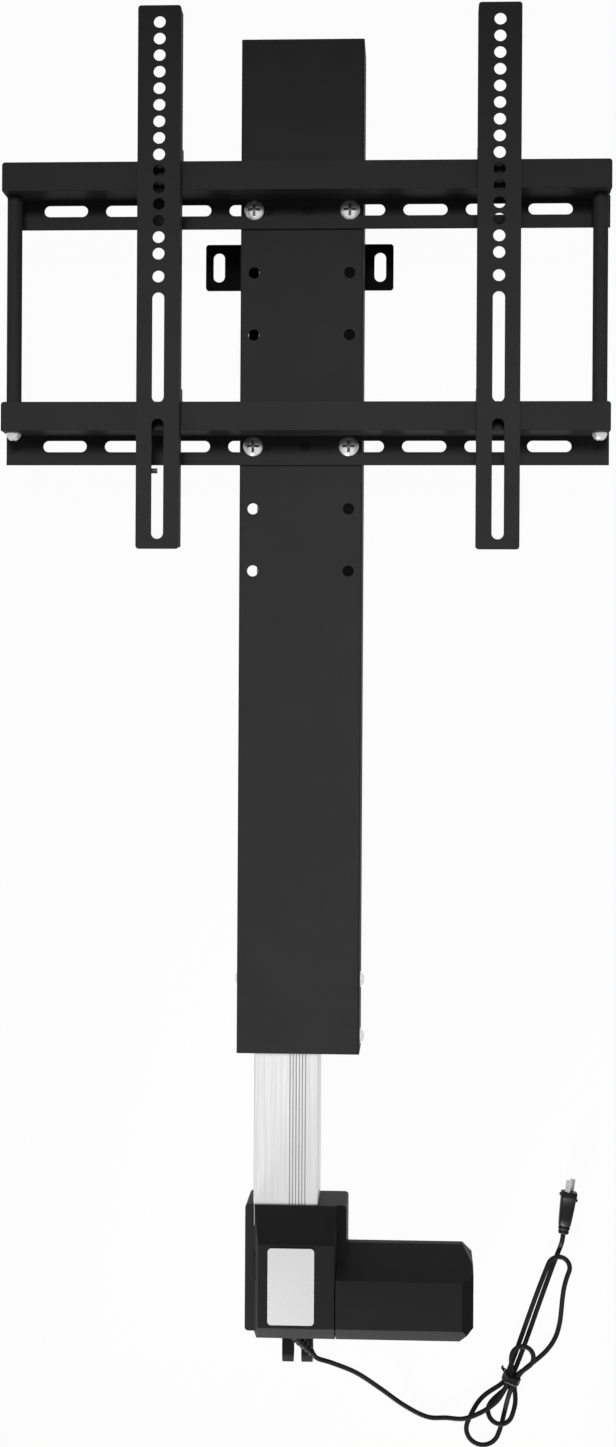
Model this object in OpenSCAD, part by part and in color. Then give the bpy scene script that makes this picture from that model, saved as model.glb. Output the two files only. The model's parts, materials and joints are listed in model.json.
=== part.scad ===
// Television lift: a telescoping screw column that lies on its back, with its motor, rails and arms.
// +X is to the right, +Y is the direction of lift and +Z comes out of the front.
// The origin is on the wall bracket's back face, level with its slots, and the sleeve is centred on X = 0.

/* [Sleeve] */
// Width of the sleeve
sleeve_w = 99; // [90:1:120]
// Wall of the sleeve
sleeve_wall = 1.5; // [1:0.1:2]
// Depth of the sleeve from its open back to its front face
sleeve_depth = 55; // [54:1:64]
// Gap between the wall bracket and the sleeve's back edges
sleeve_lift_off = 2; // [1:0.5:4]
// Length of the sleeve
sleeve_len = 814; // [780:1:840]
// Top end of the sleeve above the wall bracket
sleeve_top_y = 169; // [160:1:180]
// Bend radius at the sleeve's front corners
sleeve_bend = 2; // [1:0.5:3]
// Thickness of the top cap
cap_t = 3; // [2:0.5:5]
// Height of the block that joins the push tube to the top cap
head_h = 24; // [20:1:26]

/* [Rail holes] */
// Diameter of the holes in the sleeve
hole_d = 9; // [8.5:0.1:10]
// Distance across each row of holes
hole_span = 77; // [74:1:80]
// Pitch of the rows in a group
hole_pitch = 50; // [40:1:60]
// Rows in a group
hole_rows = 3; // [2:1:3]

/* [Rails] */
// Length of a rail
rail_len = 485; // [480:1:500]
// Sheet thickness of a rail
rail_t = 2; // [1.5:0.1:2.5]
// Sideways offset of the rails from the sleeve
rail_x = 4; // [-5:0.5:5]
// Height of the upper rail's slots above the bracket
rail_y = 34; // [30:1:40]
// Distance between the two rails
rail_spacing = 190; // [180:1:200]
// Flange below the slots
rail_below = 15; // [12:0.5:18]
// Flange above the slots, to the outside of the web
rail_above = 10.6; // [10:0.1:12]
// Distance from the sleeve's front to the front of the lip
rail_depth = 36; // [34:1:40]
// Height of the lip, with the web
rail_lip = 22.7; // [20:0.1:24]
// How much shorter the lip is than the flange
lip_trim = 3; // [0:0.5:6]
// Corner radius of the lip
lip_corner = 2.5; // [1:0.5:4]
// Length of a slot
slot_len = 35.4; // [32:0.1:40]
// Width of a slot
slot_w = 9.2; // [8.6:0.1:9.6]
// Distance of the first slot from the middle of the rail
slot_first = 45; // [42:1:48]
// Distance of the last slot from the end of the rail
slot_end = 47.5; // [45:0.5:52]
// Slots on each side
slot_count = 4; // [2:1:4]
// Diameter of the hole in the middle of each rail
rail_hole_d = 8.5; // [6:0.5:10]
// Thread diameter of the rail screws
rail_screw_d = 8; // [6:0.5:8]
// Head diameter of the rail screws
rail_head_d = 16; // [14:0.5:18]
// Head height of the rail screws
rail_head_h = 4; // [3:0.5:6]
// Outside diameter of the nuts behind the sleeve
rail_nut_d = 13; // [12:0.5:14]
// Thickness of the nuts behind the sleeve
rail_nut_t = 3; // [2.5:0.1:3]

/* [Side tubes] */
// Outside diameter of a side tube
side_od = 12; // [10:0.5:14]
// Bore of a side tube
side_id = 6; // [5:0.5:8]
// Distance of the side tubes from the ends of the rails
side_inset = 9; // [8:0.5:16]
// Distance of the side tubes from the sleeve's front
side_z = 19; // [14:0.5:22]
// Head diameter of the side tube screws
side_head_d = 12; // [10:0.5:13]
// Head height of the side tube screws
side_head_h = 6.5; // [4:0.5:8]

/* [Arms] */
// Length of an arm
arm_len = 427; // [424:1:450]
// Top end of the arms above the bracket
arm_top_y = 185; // [180:0.5:195]
// Width of an arm
arm_w = 34; // [28:1:40]
// Sheet thickness of an arm
arm_t = 2; // [1.5:0.1:2.5]
// Depth of the arm's flanges
arm_depth = 16; // [14:0.5:20]
// Distance from the rail lip's front to the arm's front
arm_proud = 12; // [8:0.5:14]
// Corner radius of an arm
arm_corner = 2.4; // [1:0.1:4]
// Place of the left arm
left_arm_x = -110.5; // [-160:0.5:-90]
// Place of the right arm
right_arm_x = 156.5; // [90:0.5:180]
// Width of the holes and slots in the arms
arm_hole_d = 9.5; // [8:0.1:11]
// Pitch of the row of holes
arm_pitch = 13; // [12:0.5:13]
// Holes in the row
arm_holes = 15; // [8:1:15]
// Distance of the single hole from the top end
arm_single = 213; // [210:0.5:214]
// Start of the upper slot from the top end
arm_slot_a = 225.4; // [224:0.1:230]
// Length of the upper slot
arm_slot_a_len = 86.6; // [60:0.1:90]
// Start of the lower slot from the top end
arm_slot_b = 324.7; // [320:0.1:330]
// Length of the lower slot
arm_slot_b_len = 94.5; // [80:0.1:95]
// How far the hooks reach behind the rail's lip
hook_reach = 13.6; // [8:0.1:16]
// Thickness of the hooks behind the rail's lip
hook_t = 9.5; // [6:0.5:12]
// Height of the hooks above the rail's lip
hook_h = 10.4; // [6:0.1:14]
// Diameter of the arm's lock screw
lock_d = 4; // [3:0.5:5]
// Length of the left arm's lock screw
lock_len = 16; // [12:0.5:18]
// Length of the right arm's lock screw, which is turned in less far
right_lock_len = 9; // [8:0.5:10]
// Distance of the lock screw below the lower rail's slots
lock_drop = 24; // [20:0.5:26]

/* [Column] */
// Inner width of the screw chamber
chamber_w = 29.6; // [28:0.1:31]
// Inner width of the switch chamber
switch_w = 16.3; // [14:0.1:18]
// Wall of the column
column_wall = 2.2; // [1.8:0.1:2.6]
// Depth of the column
column_depth = 46; // [44:0.5:47]
// Gap between the wall bracket and the column
column_off = 6; // [5.5:0.1:7]
// Length of the column
column_len = 813; // [800:1:815]
// Bottom end of the column below the bracket
column_bottom = 785; // [780:1:786]
// Corner radius of the column
column_corner = 1.5; // [0.5:0.1:2]
// Grooves on the column's front
groove_count = 6; // [2:1:8]
// Pitch of the grooves
groove_pitch = 2.5; // [2:0.1:3]
// Width of a groove
groove_w = 0.8; // [0.5:0.1:1.2]
// Depth of a groove
groove_depth = 0.6; // [0.3:0.1:0.9]
// Width of the slit between the chambers
slit_w = 6; // [5:0.5:8]
// Length of the guide's plug in the column
guide_plug = 25; // [15:1:30]
// Thickness of the guide's flange on the column
guide_flange = 3; // [2:0.5:4]

/* [Screw and tube] */
// Outside diameter of the push tube
tube_od = 25; // [24:0.5:26]
// Bore of the push tube
tube_id = 20; // [19:0.5:21]
// Outside diameter of the lead screw
screw_d = 14; // [12:0.5:15]
// Diameter of the lead screw's shank
shank_d = 10; // [8:0.5:11]
// Bottom end of the drive nut below the bracket
nut_y = 640; // [635:1:642]
// Length of the drive nut's flange
nut_len = 20; // [15:1:25]
// Length of the drive nut's spigot
nut_spigot = 20; // [12:1:24]
// Upward travel from the pose shown
lift_up = 590; // [560:1:592]
// Downward travel from the pose shown
lift_down = 110; // [90:1:112]

/* [Glides] */
// Height of the left glide
left_glide_h = 38; // [30:1:50]
// Bottom of the left glide above the sleeve's end
left_glide_up = 39; // [36:1:60]
// Height of the right glide
right_glide_h = 65; // [60:1:75]
// Bottom of the right glide above the sleeve's end
right_glide_up = 4; // [3:0.5:6]
// Distance of the glide screws above the sleeve's end
glide_screw_up = 58; // [54:1:62]
// Distance of the right glide's second screw below its first
glide_screw_step = 46; // [40:1:46]
// Diameter of the glide screws' heads
glide_head_d = 13; // [10:0.5:14]
// Height of the glide screws' heads
glide_head_h = 3.5; // [2:0.5:5]
// Thread diameter of the glide screws
glide_screw_d = 5; // [4:0.5:6]
// Thickness of the stiffener's sheet
stiffener_t = 1.5; // [1:0.1:2]
// Depth of the stiffener's flange
stiffener_flange = 28.5; // [20:0.5:32]

/* [Wall bracket] */
// Thickness of the bracket
bracket_t = 3; // [2:0.5:4]
// Sideways offset of the bracket from the sleeve
bracket_x = -5; // [-8:0.5:5]
// Width over the ears
ear_span = 156; // [150:1:170]
// Height of the ears
ear_h = 38; // [34:1:44]
// Distance between the ears' slots
ear_slot_span = 134; // [130:1:138]
// Width of the ears' slots
ear_slot_w = 9.6; // [8:0.1:11]
// Length of the ears' slots
ear_slot_len = 24.5; // [20:0.5:28]
// Width of the bracket's tongue
tongue_w = 84; // [80:1:88]
// Length of the bracket's tongue below the ears
tongue_len = 73; // [65:1:90]
// Corner radius of the bracket
bracket_corner = 2.5; // [1:0.5:5]
// Width of the spacer behind the column
spacer_w = 30; // [20:1:32]

/* [Gearbox] */
// Left side of the gearbox
case_left = 42; // [40:0.5:44]
// Right side of the gearbox
case_right = 40; // [39:0.5:42]
// Top end of the gearbox below the bracket
case_top = 767.5; // [766:0.5:771]
// Height of the gearbox
case_h = 102.5; // [100:0.5:105]
// Width of the gearbox's side rims
case_rim = 12; // [11:0.5:13]
// Wall of the gearbox and its covers
case_wall = 2.5; // [2:0.1:3]
// Corner radius at the top of the gearbox
case_corner = 3; // [1:0.5:5]
// Side gap between the front cover and the gearbox's edge
cover_inset = 7.5; // [6:0.5:8]
// Distance of the front cover below the gearbox's top
cover_drop = 0; // [0:0.5:4]
// Height of the front cover
cover_h = 29; // [27:0.5:32]
// Height of the front cover's upper edge
cover_edge = 3; // [2.5:0.1:5]
// Lean of the front cover's left side
cover_lean_left = 5; // [0:0.5:6]
// Lean of the front cover's right side
cover_lean_right = 1; // [0:0.5:4]
// Run of the front cover's lower chamfer
cover_chamfer = 10; // [6:0.5:12]
// Rise of the front cover's lower chamfer
cover_chamfer_z = 9; // [5:0.5:11]
// Width of the plain plate on the cover
plate_w = 37; // [30:0.5:42]
// Height of the plain plate on the cover
plate_h = 61; // [50:0.5:61]
// Thickness of the plain plate on the cover
plate_t = 0.4; // [0.2:0.1:0.8]
// Corner radius of the plain plate
plate_corner = 3; // [1:0.5:5]

/* [Motor] */
// Right end of the motor cover
motor_end = 142; // [138:0.5:150]
// Height of the motor cover
motor_h = 67; // [64:0.5:67]
// Gap between the floor and the motor cover
motor_off = 10; // [9:0.5:12]
// Lean of the motor cover's upper slope
motor_slope = 18; // [14:0.5:19]
// Chamfer along the motor cover's back
motor_chamfer = 10; // [6:0.5:11]
// Chamfer at the motor cover's front end
end_chamfer = 9; // [6:0.5:10]
// Diameter of the motor can
can_d = 46; // [40:0.5:46]
// Length of the motor can
can_len = 70; // [60:1:74]
// Distance of the motor can from the gearbox
can_gap = 8; // [5:0.5:10]
// Length of the motor's end cap
can_cap = 10; // [6:0.5:10]
// Diameter of the motor shaft
shaft_d = 8; // [6:0.5:8]
// Pitch radius of the worm wheel
wheel_r = 14.3; // [12:0.1:15]
// Pitch radius of the worm
worm_r = 5.5; // [5:0.1:6]
// Height of the worm wheel
wheel_h = 14; // [10:0.5:16]
// Distance of the worm above the gearbox's bottom
worm_up = 30; // [29:0.5:31]

/* [Base clevis] */
// Gap between the prongs
prong_gap = 6.6; // [5:0.1:8]
// Thickness of a prong
prong_t = 9; // [7:0.5:10]
// Width of a prong
prong_w = 20; // [17:0.5:22]
// Distance of the pin hole below the gearbox
pin_drop = 20.6; // [18:0.1:30]
// Diameter of the pin hole
pin_d = 10; // [8:0.1:11]

/* [Cord] */
// Diameter of the cord
cord_d = 4; // [3.5:0.1:4]
// Length of the strain relief
relief_len = 22; // [18:1:24]
// Length of the plug
plug_len = 35; // [28:1:40]
// Width of the plug's face
plug_d = 14; // [13:0.5:16]
// Length of the plug's blades
blade_len = 10; // [8:0.5:18]
// Distance between the plug's blades
blade_span = 9; // [8:0.1:10]
// Lean of the plug to the right
plug_lean = 8; // [0:1:15]
// Turn of the plug about its own length
plug_roll = 65; // [0:5:90]

/* [Clearances] */
// Radial clearance of fitted round pieces
fit = 0.05; // [0.02:0.01:0.1]
// Radial running clearance of turning pieces
run_gap = 0.08; // [0.05:0.01:0.1]
// Gap between sliding pieces
slide_gap = 0.3; // [0.25:0.05:0.5]
// Gap between the arm's hooks and the rail's lip
hook_gap = 0.5; // [0.3:0.1:0.8]
// Gap between the worm and the worm wheel
mesh_gap = 0.2; // [0.2:0.05:0.4]

/* [Hidden] */
$fn = 48;

black = "#2b2b2b";
silver = "#c9c9c9";
aluminium = "#e4e4e4";
brass = "#b8964a";
nylon = "#d8d4c8";

// Overcut that keeps cutting faces off the faces of a solid
over = 1;

// Sleeve
sleeve_back = bracket_t + sleeve_lift_off;
sleeve_front = sleeve_back + sleeve_depth;
sleeve_inner_front = sleeve_front - sleeve_wall;
sleeve_bottom_y = sleeve_top_y - sleeve_len;
sleeve_inner_x = sleeve_w / 2 - sleeve_wall;
head_bottom_y = sleeve_top_y - head_h;
head_back_z = 8;
cap_screw_x = 30;
cap_screw_d = 5;
cap_screw_grip = 14;
cap_head_d = 9;
cap_head_t = 2;

// Column
column_back = bracket_t + column_off;
column_front = column_back + column_depth;
column_right = chamber_w / 2 + column_wall;
divider_left = -column_right;
switch_left = divider_left - switch_w;
column_left = switch_left - column_wall;
column_bottom_y = -column_bottom;
column_top_y = column_bottom_y + column_len;
axis_z = column_back + column_depth / 2;
groove_first = -groove_pitch * (groove_count - 1) / 2;

// Screw, nut and tube
nut_bottom_y = -nut_y;
nut_top_y = nut_bottom_y + nut_len;
spigot_top_y = nut_top_y + nut_spigot;
tube_floor = 4;
tube_top_y = sleeve_top_y - tube_floor;
screw_guide_h = 12;
screw_guide_y = spigot_top_y + lift_up + 4;
screw_top_y = screw_guide_y + screw_guide_h;
finger_y = nut_bottom_y + 8;
finger_h = 4;
finger_reach = 7;

// Rails and arms
rail_ys = [rail_y, rail_y - rail_spacing];
lip_front = sleeve_front + rail_depth;
lip_back = lip_front - rail_t;
flange_front = sleeve_front + rail_t;
web_in = rail_above - rail_t;
lip_top = web_in + rail_lip;
tube_z = sleeve_front + side_z;
side_x = rail_len / 2 - side_inset;
slot_pitch = (rail_len / 2 - slot_first - slot_end) / (slot_count - 1);
side_screw_d = side_id - 0.4;
side_screw_grip = 14;
rail_cross_w = 0.64 * rail_head_d;
rail_cross_t = 2.2;
rail_cross_depth = 2.8;
arm_front = lip_front + arm_proud;
arm_back = arm_front - arm_depth;
arm_bottom_y = arm_top_y - arm_len;
hook_front = lip_back - hook_gap;
hook_back = hook_front - hook_t;
hook_below = 1.6;
lock_depth = 6;
lock_y = rail_y - rail_spacing - lock_drop;
lock_z = arm_front - arm_t - lock_depth;

// Glides
left_glide_y = sleeve_bottom_y + left_glide_up;
right_glide_y = sleeve_bottom_y + right_glide_up;
glide_screw_y = sleeve_bottom_y + glide_screw_up;
right_screw_ys = [glide_screw_y, glide_screw_y - glide_screw_step];
glide_z = axis_z + 3;
glide_back = sleeve_back + 0.5;
glide_front = column_front - 5;
lip_reach = 7;
front_glide_y = sleeve_bottom_y + 14;
front_glide_h = 40;
front_glide_margin = 5;
glide_screw_grip = 6;
stiffener_left = column_right + 2.5;
stiffener_bottom_y = right_glide_y + right_glide_h + 15;
stiffener_top_y = head_bottom_y - 15;
stiffener_clear = 0.5;

// Wall bracket
spacer_x = (column_left + column_right) / 2;
bracket_bottom_y = -ear_h / 2 - tongue_len;
spacer_bottom_y = bracket_bottom_y + 8;
spacer_top_y = ear_h / 2 - 7;
bracket_screw_d = 5;
bracket_head_d = 9;
bracket_head_t = 1.6;
bracket_screw_ys = [-14, -42, -70];
bracket_screw_tip = column_back + column_wall - 0.3;

// Gearbox
case_front = column_front;
case_top_y = -case_top;
case_bottom_y = case_top_y - case_h;
case_floor_y = case_bottom_y + case_wall;
cavity_left = -case_left + case_rim;
cavity_right = case_right - case_rim;
cavity_top_y = case_top_y - 13;
cover_left = -case_left + cover_inset;
cover_right = case_right - cover_inset;
cover_top_y = case_top_y - cover_drop;
cover_front = case_front + cover_h;
notch_gap = 0.2;
house_screw_d = 2.5;
house_head_d = 6;
house_head_t = 2;
house_head_sink = 0.4;
house_screw_grip = 5;
house_screw_top = 32.5;
house_screw_low = 15;
house_screw_rise = house_screw_grip / cover_h;
house_screw_xs = [
  (cover_left + cover_lean_left * house_screw_rise + cavity_left) / 2,
  (cover_right - cover_lean_right * house_screw_rise + cavity_right) / 2
];
house_screw_ys = [case_top_y - house_screw_top, case_bottom_y + house_screw_low];
house_screw_tip = case_front + house_screw_grip;
plate_up = 43.3;
plate_y = case_bottom_y + plate_up;
plate_x = -3.2;
boss_r = 19;
boss_out = 2.2;
boss_h = 12;
boss_down = 49.5;
boss_at = [cover_left - boss_out + boss_r, case_top_y - boss_down];
gear_plate_h = 30;
gear_plate_top_y = column_bottom_y;
gear_plate_bottom_y = gear_plate_top_y - gear_plate_h;
gear_plate_gap = 3;
gear_plate_front = case_front - gear_plate_gap;
bearing_od = 26;
bearing_h = 8;
bearing_seat = 11;
bearing_top_y = gear_plate_bottom_y + bearing_seat;
bearing_bottom_y = bearing_top_y - bearing_h;

// Worm drive and motor
worm_y = case_bottom_y + worm_up;
worm_z = axis_z + wheel_r + mesh_gap + worm_r;
worm_half = 14;
wheel_top_y = worm_y + wheel_h / 2;
wheel_bottom_y = worm_y - wheel_h / 2;
hub_d = 16;
hub_top_y = bearing_bottom_y - slide_gap;
clevis_top_y = wheel_bottom_y - 7;
clevis_half = 20;
lower_od = 22;
lower_h = 7;
shank_bottom_y = clevis_top_y - lower_h + 1;
bush_w = 8;
bush_half = 11;
shaft_left = cavity_left + bush_w - 2;
shaft_hole_d = shaft_d + 4;
can_left = case_right + can_gap;
can_right = can_left + can_len;
shaft_right = can_right - 6;
can_boss_d = 24;
motor_top_y = case_bottom_y + motor_h;
slope_z = motor_off + 2 * motor_chamfer;
top_cut = [8, 10];
bottom_cut = 11;
board_in = 12;
board_up_y = 15;
board_size = [65, 36];
board_foot = 5;
board_parts = [[10, 8, 20, 16], [40, 10, 12, 12]];
board_x = [can_left + board_in, can_left + board_in + board_size.x];
board_y = [case_bottom_y + board_up_y, case_bottom_y + board_up_y + board_size.y];
board_t = 1.6;
board_up = 2.5;
board_part_h = 8;
board_z = motor_off + case_wall + board_up;

// Base clevis
pin_y = case_bottom_y - pin_drop;
prong_inner = prong_gap / 2;
prong_outer = prong_inner + prong_t;
clevis_half_z = prong_w / 2 + 2;

// Cord: the relief leaves the gearbox and points down and to the right
cord_r = cord_d / 2;
relief_up = 9;
relief_out = 2;
relief_start = [0, case_bottom_y - relief_out, case_front + relief_up];
relief_aim = [0.62, -0.7, -0.35];
relief_dir = relief_aim / norm(relief_aim);
relief_tip = relief_start + relief_len * relief_dir;
relief_disc_r = 5.5;
relief_root_r = 4.2;
relief_tip_r = 2.8;

// Cord: the hank is one flat bundle along its own axis, with a narrow waist where the tie holds it.
// Each lobe gives its middle across and along the axis, its length and its width.
tie_at = [175.5, -920];
tie_turn = 22;
tie_t = 0.7;
tie_w = 6;
tie_gap = 0.2;
strand_gap = 0.5;
layer_step = cord_d + strand_gap;
hank_low = tie_t + 0.1;
hank_z = hank_low + cord_r;
hank_high = hank_z + layer_step + cord_r;
waist_half = 1.5 * cord_d + strand_gap;
waist_reach = 16;
upper_lobe = [6.25, 58, 108, 33.5];
lower_lobe = [-5, -33.5, 59, 38];
way_out = [[-7.75, -0.75], [90, 112]];
function lay(u, v, layer) = [
  tie_at.x + u * sin(tie_turn) + v * cos(tie_turn),
  tie_at.y + u * cos(tie_turn) - v * sin(tie_turn),
  hank_z + layer * layer_step
];

// Points of the lead from the relief to the hank, and of the tail from the hank to the plug
plug_z = plug_d / 2 + 0.1;
plug_dir = [sin(plug_lean), cos(plug_lean), 0];
plug_layer = (plug_z - hank_z) / layer_step;
lead_start = 6;
lead_bends = [[29, -897.5, 46], [48, -910, 29], [67, -926.5, 14.5], [87, -943, 5.6], [106, -953, hank_z]];
lead_entry = [[-51, -37, 0.1], [-45, -24, 0.9]];
tail_rise = [[112, -4.25, 0.08], [116.5, -4.5, 0.4], [121.5, -5.1, 0.86]];
tail_end = [[125.2, -5.9], [128.5, -6.8]];
lead_points = concat(
  [relief_tip, relief_tip + lead_start * relief_dir],
  lead_bends,
  [for (p = lead_entry) lay(p.x, p.y, p.z)]
);
tail_points = concat(
  [for (p = tail_rise) lay(p.x, p.y, p.z)],
  [for (p = tail_end) lay(p.x, p.y, plug_layer)]
);
plug_base = tail_points[len(tail_points) - 1];

// A smooth curve through hand-chosen points, cut into equal steps
function through(p, i, t) =
  let (
    a = p[max(0, i - 1)],
    b = p[i],
    c = p[i + 1],
    d = p[min(len(p) - 1, i + 2)]
  )
  0.5 * (2 * b + (c - a) * t + (2 * a - 5 * b + 4 * c - d) * t * t + (3 * b - a - 3 * c + d) * t * t * t);
function curve(p, steps) = concat(
  [for (i = [0:len(p) - 2]) for (j = [0:steps - 1]) through(p, i, j / steps)],
  [p[len(p) - 1]]
);
function unit(v) = v / norm(v);

// A closed tube swept along points, with its first and last faces square to the given directions
module swept_tube(points, r, sides, first_dir, last_dir) {
  n = len(points);
  function heading(i) =
    i == 0 ? first_dir : i == n - 1 ? last_dir : unit(points[i + 1] - points[i - 1]);
  function ring(i) =
    let (
      t = heading(i),
      across = unit(cross(t, [0, 0, 1])),
      up = cross(across, t)
    )
    [for (k = [0:sides - 1]) points[i] + r * (cos(360 * k / sides) * across + sin(360 * k / sides) * up)];
  rings = [for (i = [0:n - 1]) each ring(i)];
  walls = [
    for (i = [0:n - 2])
      for (k = [0:sides - 1])
        let (a = i * sides + k, b = i * sides + (k + 1) % sides)
          each [[a, a + sides, b], [b, a + sides, b + sides]]
  ];
  start = [for (k = [1:sides - 2]) [0, k, k + 1]];
  base = (n - 1) * sides;
  finish = [for (k = [1:sides - 2]) [base, base + k + 1, base + k]];
  polyhedron(points = rings, faces = concat(walls, start, finish), convexity = 10);
}

// Box between two corners
module span(x, y, z) {
  translate([x[0], y[0], z[0]])
    cube([x[1] - x[0], y[1] - y[0], z[1] - z[0]]);
}

// Round bar along X, Y or Z between two ends
module bar_x(r, x, y, z) {
  translate([x[0], y, z])
    rotate([0, 90, 0])
      cylinder(r = r, h = x[1] - x[0]);
}
module bar_y(r, x, y, z) {
  translate([x, y[0], z])
    rotate([-90, 0, 0])
      cylinder(r = r, h = y[1] - y[0]);
}
module bar_z(r, x, y, z) {
  translate([x, y, z[0]])
    cylinder(r = r, h = z[1] - z[0]);
}

// Outlines in XZ, YZ or XY carried along Y, X or Z
module along_y(y) {
  translate([0, y[1], 0])
    rotate([90, 0, 0])
      linear_extrude(y[1] - y[0])
        children();
}
module along_x(x) {
  translate([x[0], 0, 0])
    rotate([90, 0, 90])
      linear_extrude(x[1] - x[0])
        children();
}
module along_z(z) {
  translate([0, 0, z[0]])
    linear_extrude(z[1] - z[0])
      children();
}

// Flat outlines
module rect(a, b) {
  translate([a[0], b[0]])
    square([a[1] - a[0], b[1] - b[0]]);
}
module round_rect(a, b, r) {
  rect([a[0] + r, a[1] - r], b);
  rect(a, [b[0] + r, b[1] - r]);
  for (p = [a[0] + r, a[1] - r])
    for (q = [b[0] + r, b[1] - r])
      translate([p, q])
        circle(r);
}
module slot_outline(x, y, length, width, upright) {
  reach = (length - width) / 2;
  along = upright ? [0, 1] : [1, 0];
  half = upright ? [width / 2, reach] : [reach, width / 2];
  rect([x - half.x, x + half.x], [y - half.y, y + half.y]);
  for (s = [-1, 1])
    translate([x, y] + s * reach * along)
      circle(d = width);
}

// Cap of a ball on the XY plane
module dome(d, h) {
  r = (d * d / 4 + h * h) / (2 * h);
  intersection() {
    translate([0, 0, h - r])
      sphere(r);
    cylinder(d = 2 * d, h = h);
  }
}
module cross_recess(w, t, depth) {
  for (turn = [0, 90])
    rotate(turn)
      translate([-w / 2, -t / 2, -depth])
        cube([w, t, depth + over]);
}

// Sleeve and what it carries inside
module sleeve_holes(d, z) {
  for (y = rail_ys)
    for (i = [0:hole_rows - 1])
      for (side = [-1, 1])
        bar_z(d / 2, side * hole_span / 2, y - i * hole_pitch, z);
}

module outer_sleeve() {
  half = sleeve_w / 2;
  color(black)
    difference() {
      along_y([sleeve_bottom_y, sleeve_top_y])
        difference() {
          union() {
            rect([-half, half], [sleeve_back, sleeve_front - sleeve_bend]);
            round_rect([-half, half], [sleeve_back + sleeve_depth / 2, sleeve_front], sleeve_bend);
          }
          rect([-sleeve_inner_x, sleeve_inner_x], [sleeve_back - over, sleeve_inner_front]);
        }
      sleeve_holes(hole_d, [sleeve_inner_front - over, sleeve_front + over]);
      bar_x(glide_screw_d / 2 + fit, [-half - over, -sleeve_inner_x + over], glide_screw_y, glide_z);
      for (y = right_screw_ys)
        bar_x(glide_screw_d / 2 + fit, [sleeve_inner_x - over, half + over], y, glide_z);
    }
}

module top_cap() {
  y = [sleeve_top_y, sleeve_top_y + cap_t];
  color(black)
    difference() {
      along_y(y)
        round_rect([-sleeve_w / 2, sleeve_w / 2], [sleeve_back, sleeve_front], sleeve_bend);
      for (side = [-1, 1]) {
        bar_y(cap_screw_d / 2 + fit, side * cap_screw_x, [y[0] - over, y[1] + over], axis_z);
        bar_y(cap_head_d / 2 + fit, side * cap_screw_x, [y[1] - cap_head_t, y[1] + over], axis_z);
      }
    }
}

module cap_screws() {
  top = sleeve_top_y + cap_t;
  color(silver)
    for (side = [-1, 1])
      difference() {
        union() {
          bar_y(cap_screw_d / 2, side * cap_screw_x, [sleeve_top_y - cap_screw_grip, top - cap_head_t],
                axis_z);
          bar_y(cap_head_d / 2, side * cap_screw_x, [top - cap_head_t, top], axis_z);
        }
        translate([side * cap_screw_x, top, axis_z])
          rotate([-90, 0, 0])
            cross_recess(cap_head_d * 0.6, 1, 1.2);
      }
}

module push_head() {
  color("#303030")
    difference() {
      span([-sleeve_inner_x, sleeve_inner_x], [head_bottom_y, sleeve_top_y],
           [head_back_z, sleeve_inner_front]);
      bar_y(tube_od / 2 + fit, 0, [head_bottom_y - over, tube_top_y], axis_z);
      for (side = [-1, 1])
        bar_y(cap_screw_d / 2 + fit, side * cap_screw_x,
              [sleeve_top_y - cap_screw_grip - over, sleeve_top_y + over], axis_z);
    }
}

module push_tube() {
  color(silver)
    difference() {
      bar_y(tube_od / 2, 0, [nut_top_y, tube_top_y], axis_z);
      bar_y(tube_id / 2, 0, [nut_top_y - over, tube_top_y + over], axis_z);
    }
}

module drive_nut() {
  x = chamber_w / 2 - slide_gap;
  z = [column_back + column_wall + slide_gap, column_front - column_wall - slide_gap];
  color(brass)
    difference() {
      union() {
        span([-x, x], [nut_bottom_y, nut_top_y], z);
        bar_y(tube_id / 2 - fit, 0, [nut_top_y, spigot_top_y], axis_z);
        span([divider_left - finger_reach, 0], [finger_y, finger_y + finger_h],
             [axis_z - slit_w / 2 + 1, axis_z + slit_w / 2 - 1]);
      }
      bar_y(screw_d / 2 + run_gap, 0, [nut_bottom_y - over, spigot_top_y + over], axis_z);
    }
}

module sleeve_stiffener() {
  y = [stiffener_bottom_y, stiffener_top_y];
  z = [sleeve_inner_front - stiffener_t, sleeve_inner_front];
  color("#1d1d1d")
    difference() {
      union() {
        span([stiffener_left, sleeve_inner_x], y, z);
        span([stiffener_left, stiffener_left + stiffener_t], y,
             [sleeve_inner_front - stiffener_flange, z[1]]);
      }
      for (h = rail_ys)
        bar_z(rail_nut_d / 2 + stiffener_clear, hole_span / 2, h, [z[0] - over, z[1] + over]);
    }
}

module glide_bore(side, y) {
  face = side * sleeve_inner_x;
  x = side < 0 ? [face - over, face + glide_screw_grip + 1] : [face - glide_screw_grip - 1, face + over];
  bar_x(glide_screw_d / 2 + fit, x, y, glide_z);
}

module left_glide() {
  y = [left_glide_y, left_glide_y + left_glide_h];
  color(nylon)
    difference() {
      union() {
        span([-sleeve_inner_x, column_left - slide_gap], y, [glide_back, glide_front]);
        span([-sleeve_inner_x, column_left + lip_reach], y, [glide_back, column_back - slide_gap]);
      }
      glide_bore(-1, glide_screw_y);
    }
}

module right_glide() {
  y = [right_glide_y, right_glide_y + right_glide_h];
  color(nylon)
    difference() {
      union() {
        span([column_right + slide_gap, sleeve_inner_x], y, [glide_back, glide_front]);
        span([column_right - lip_reach, sleeve_inner_x], y, [glide_back, column_back - slide_gap]);
      }
      for (h = right_screw_ys)
        glide_bore(1, h);
    }
}

module front_glide() {
  color(nylon)
    span([column_left + front_glide_margin, column_right - front_glide_margin],
         [front_glide_y, front_glide_y + front_glide_h],
         [column_front + slide_gap, sleeve_inner_front]);
}

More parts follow.
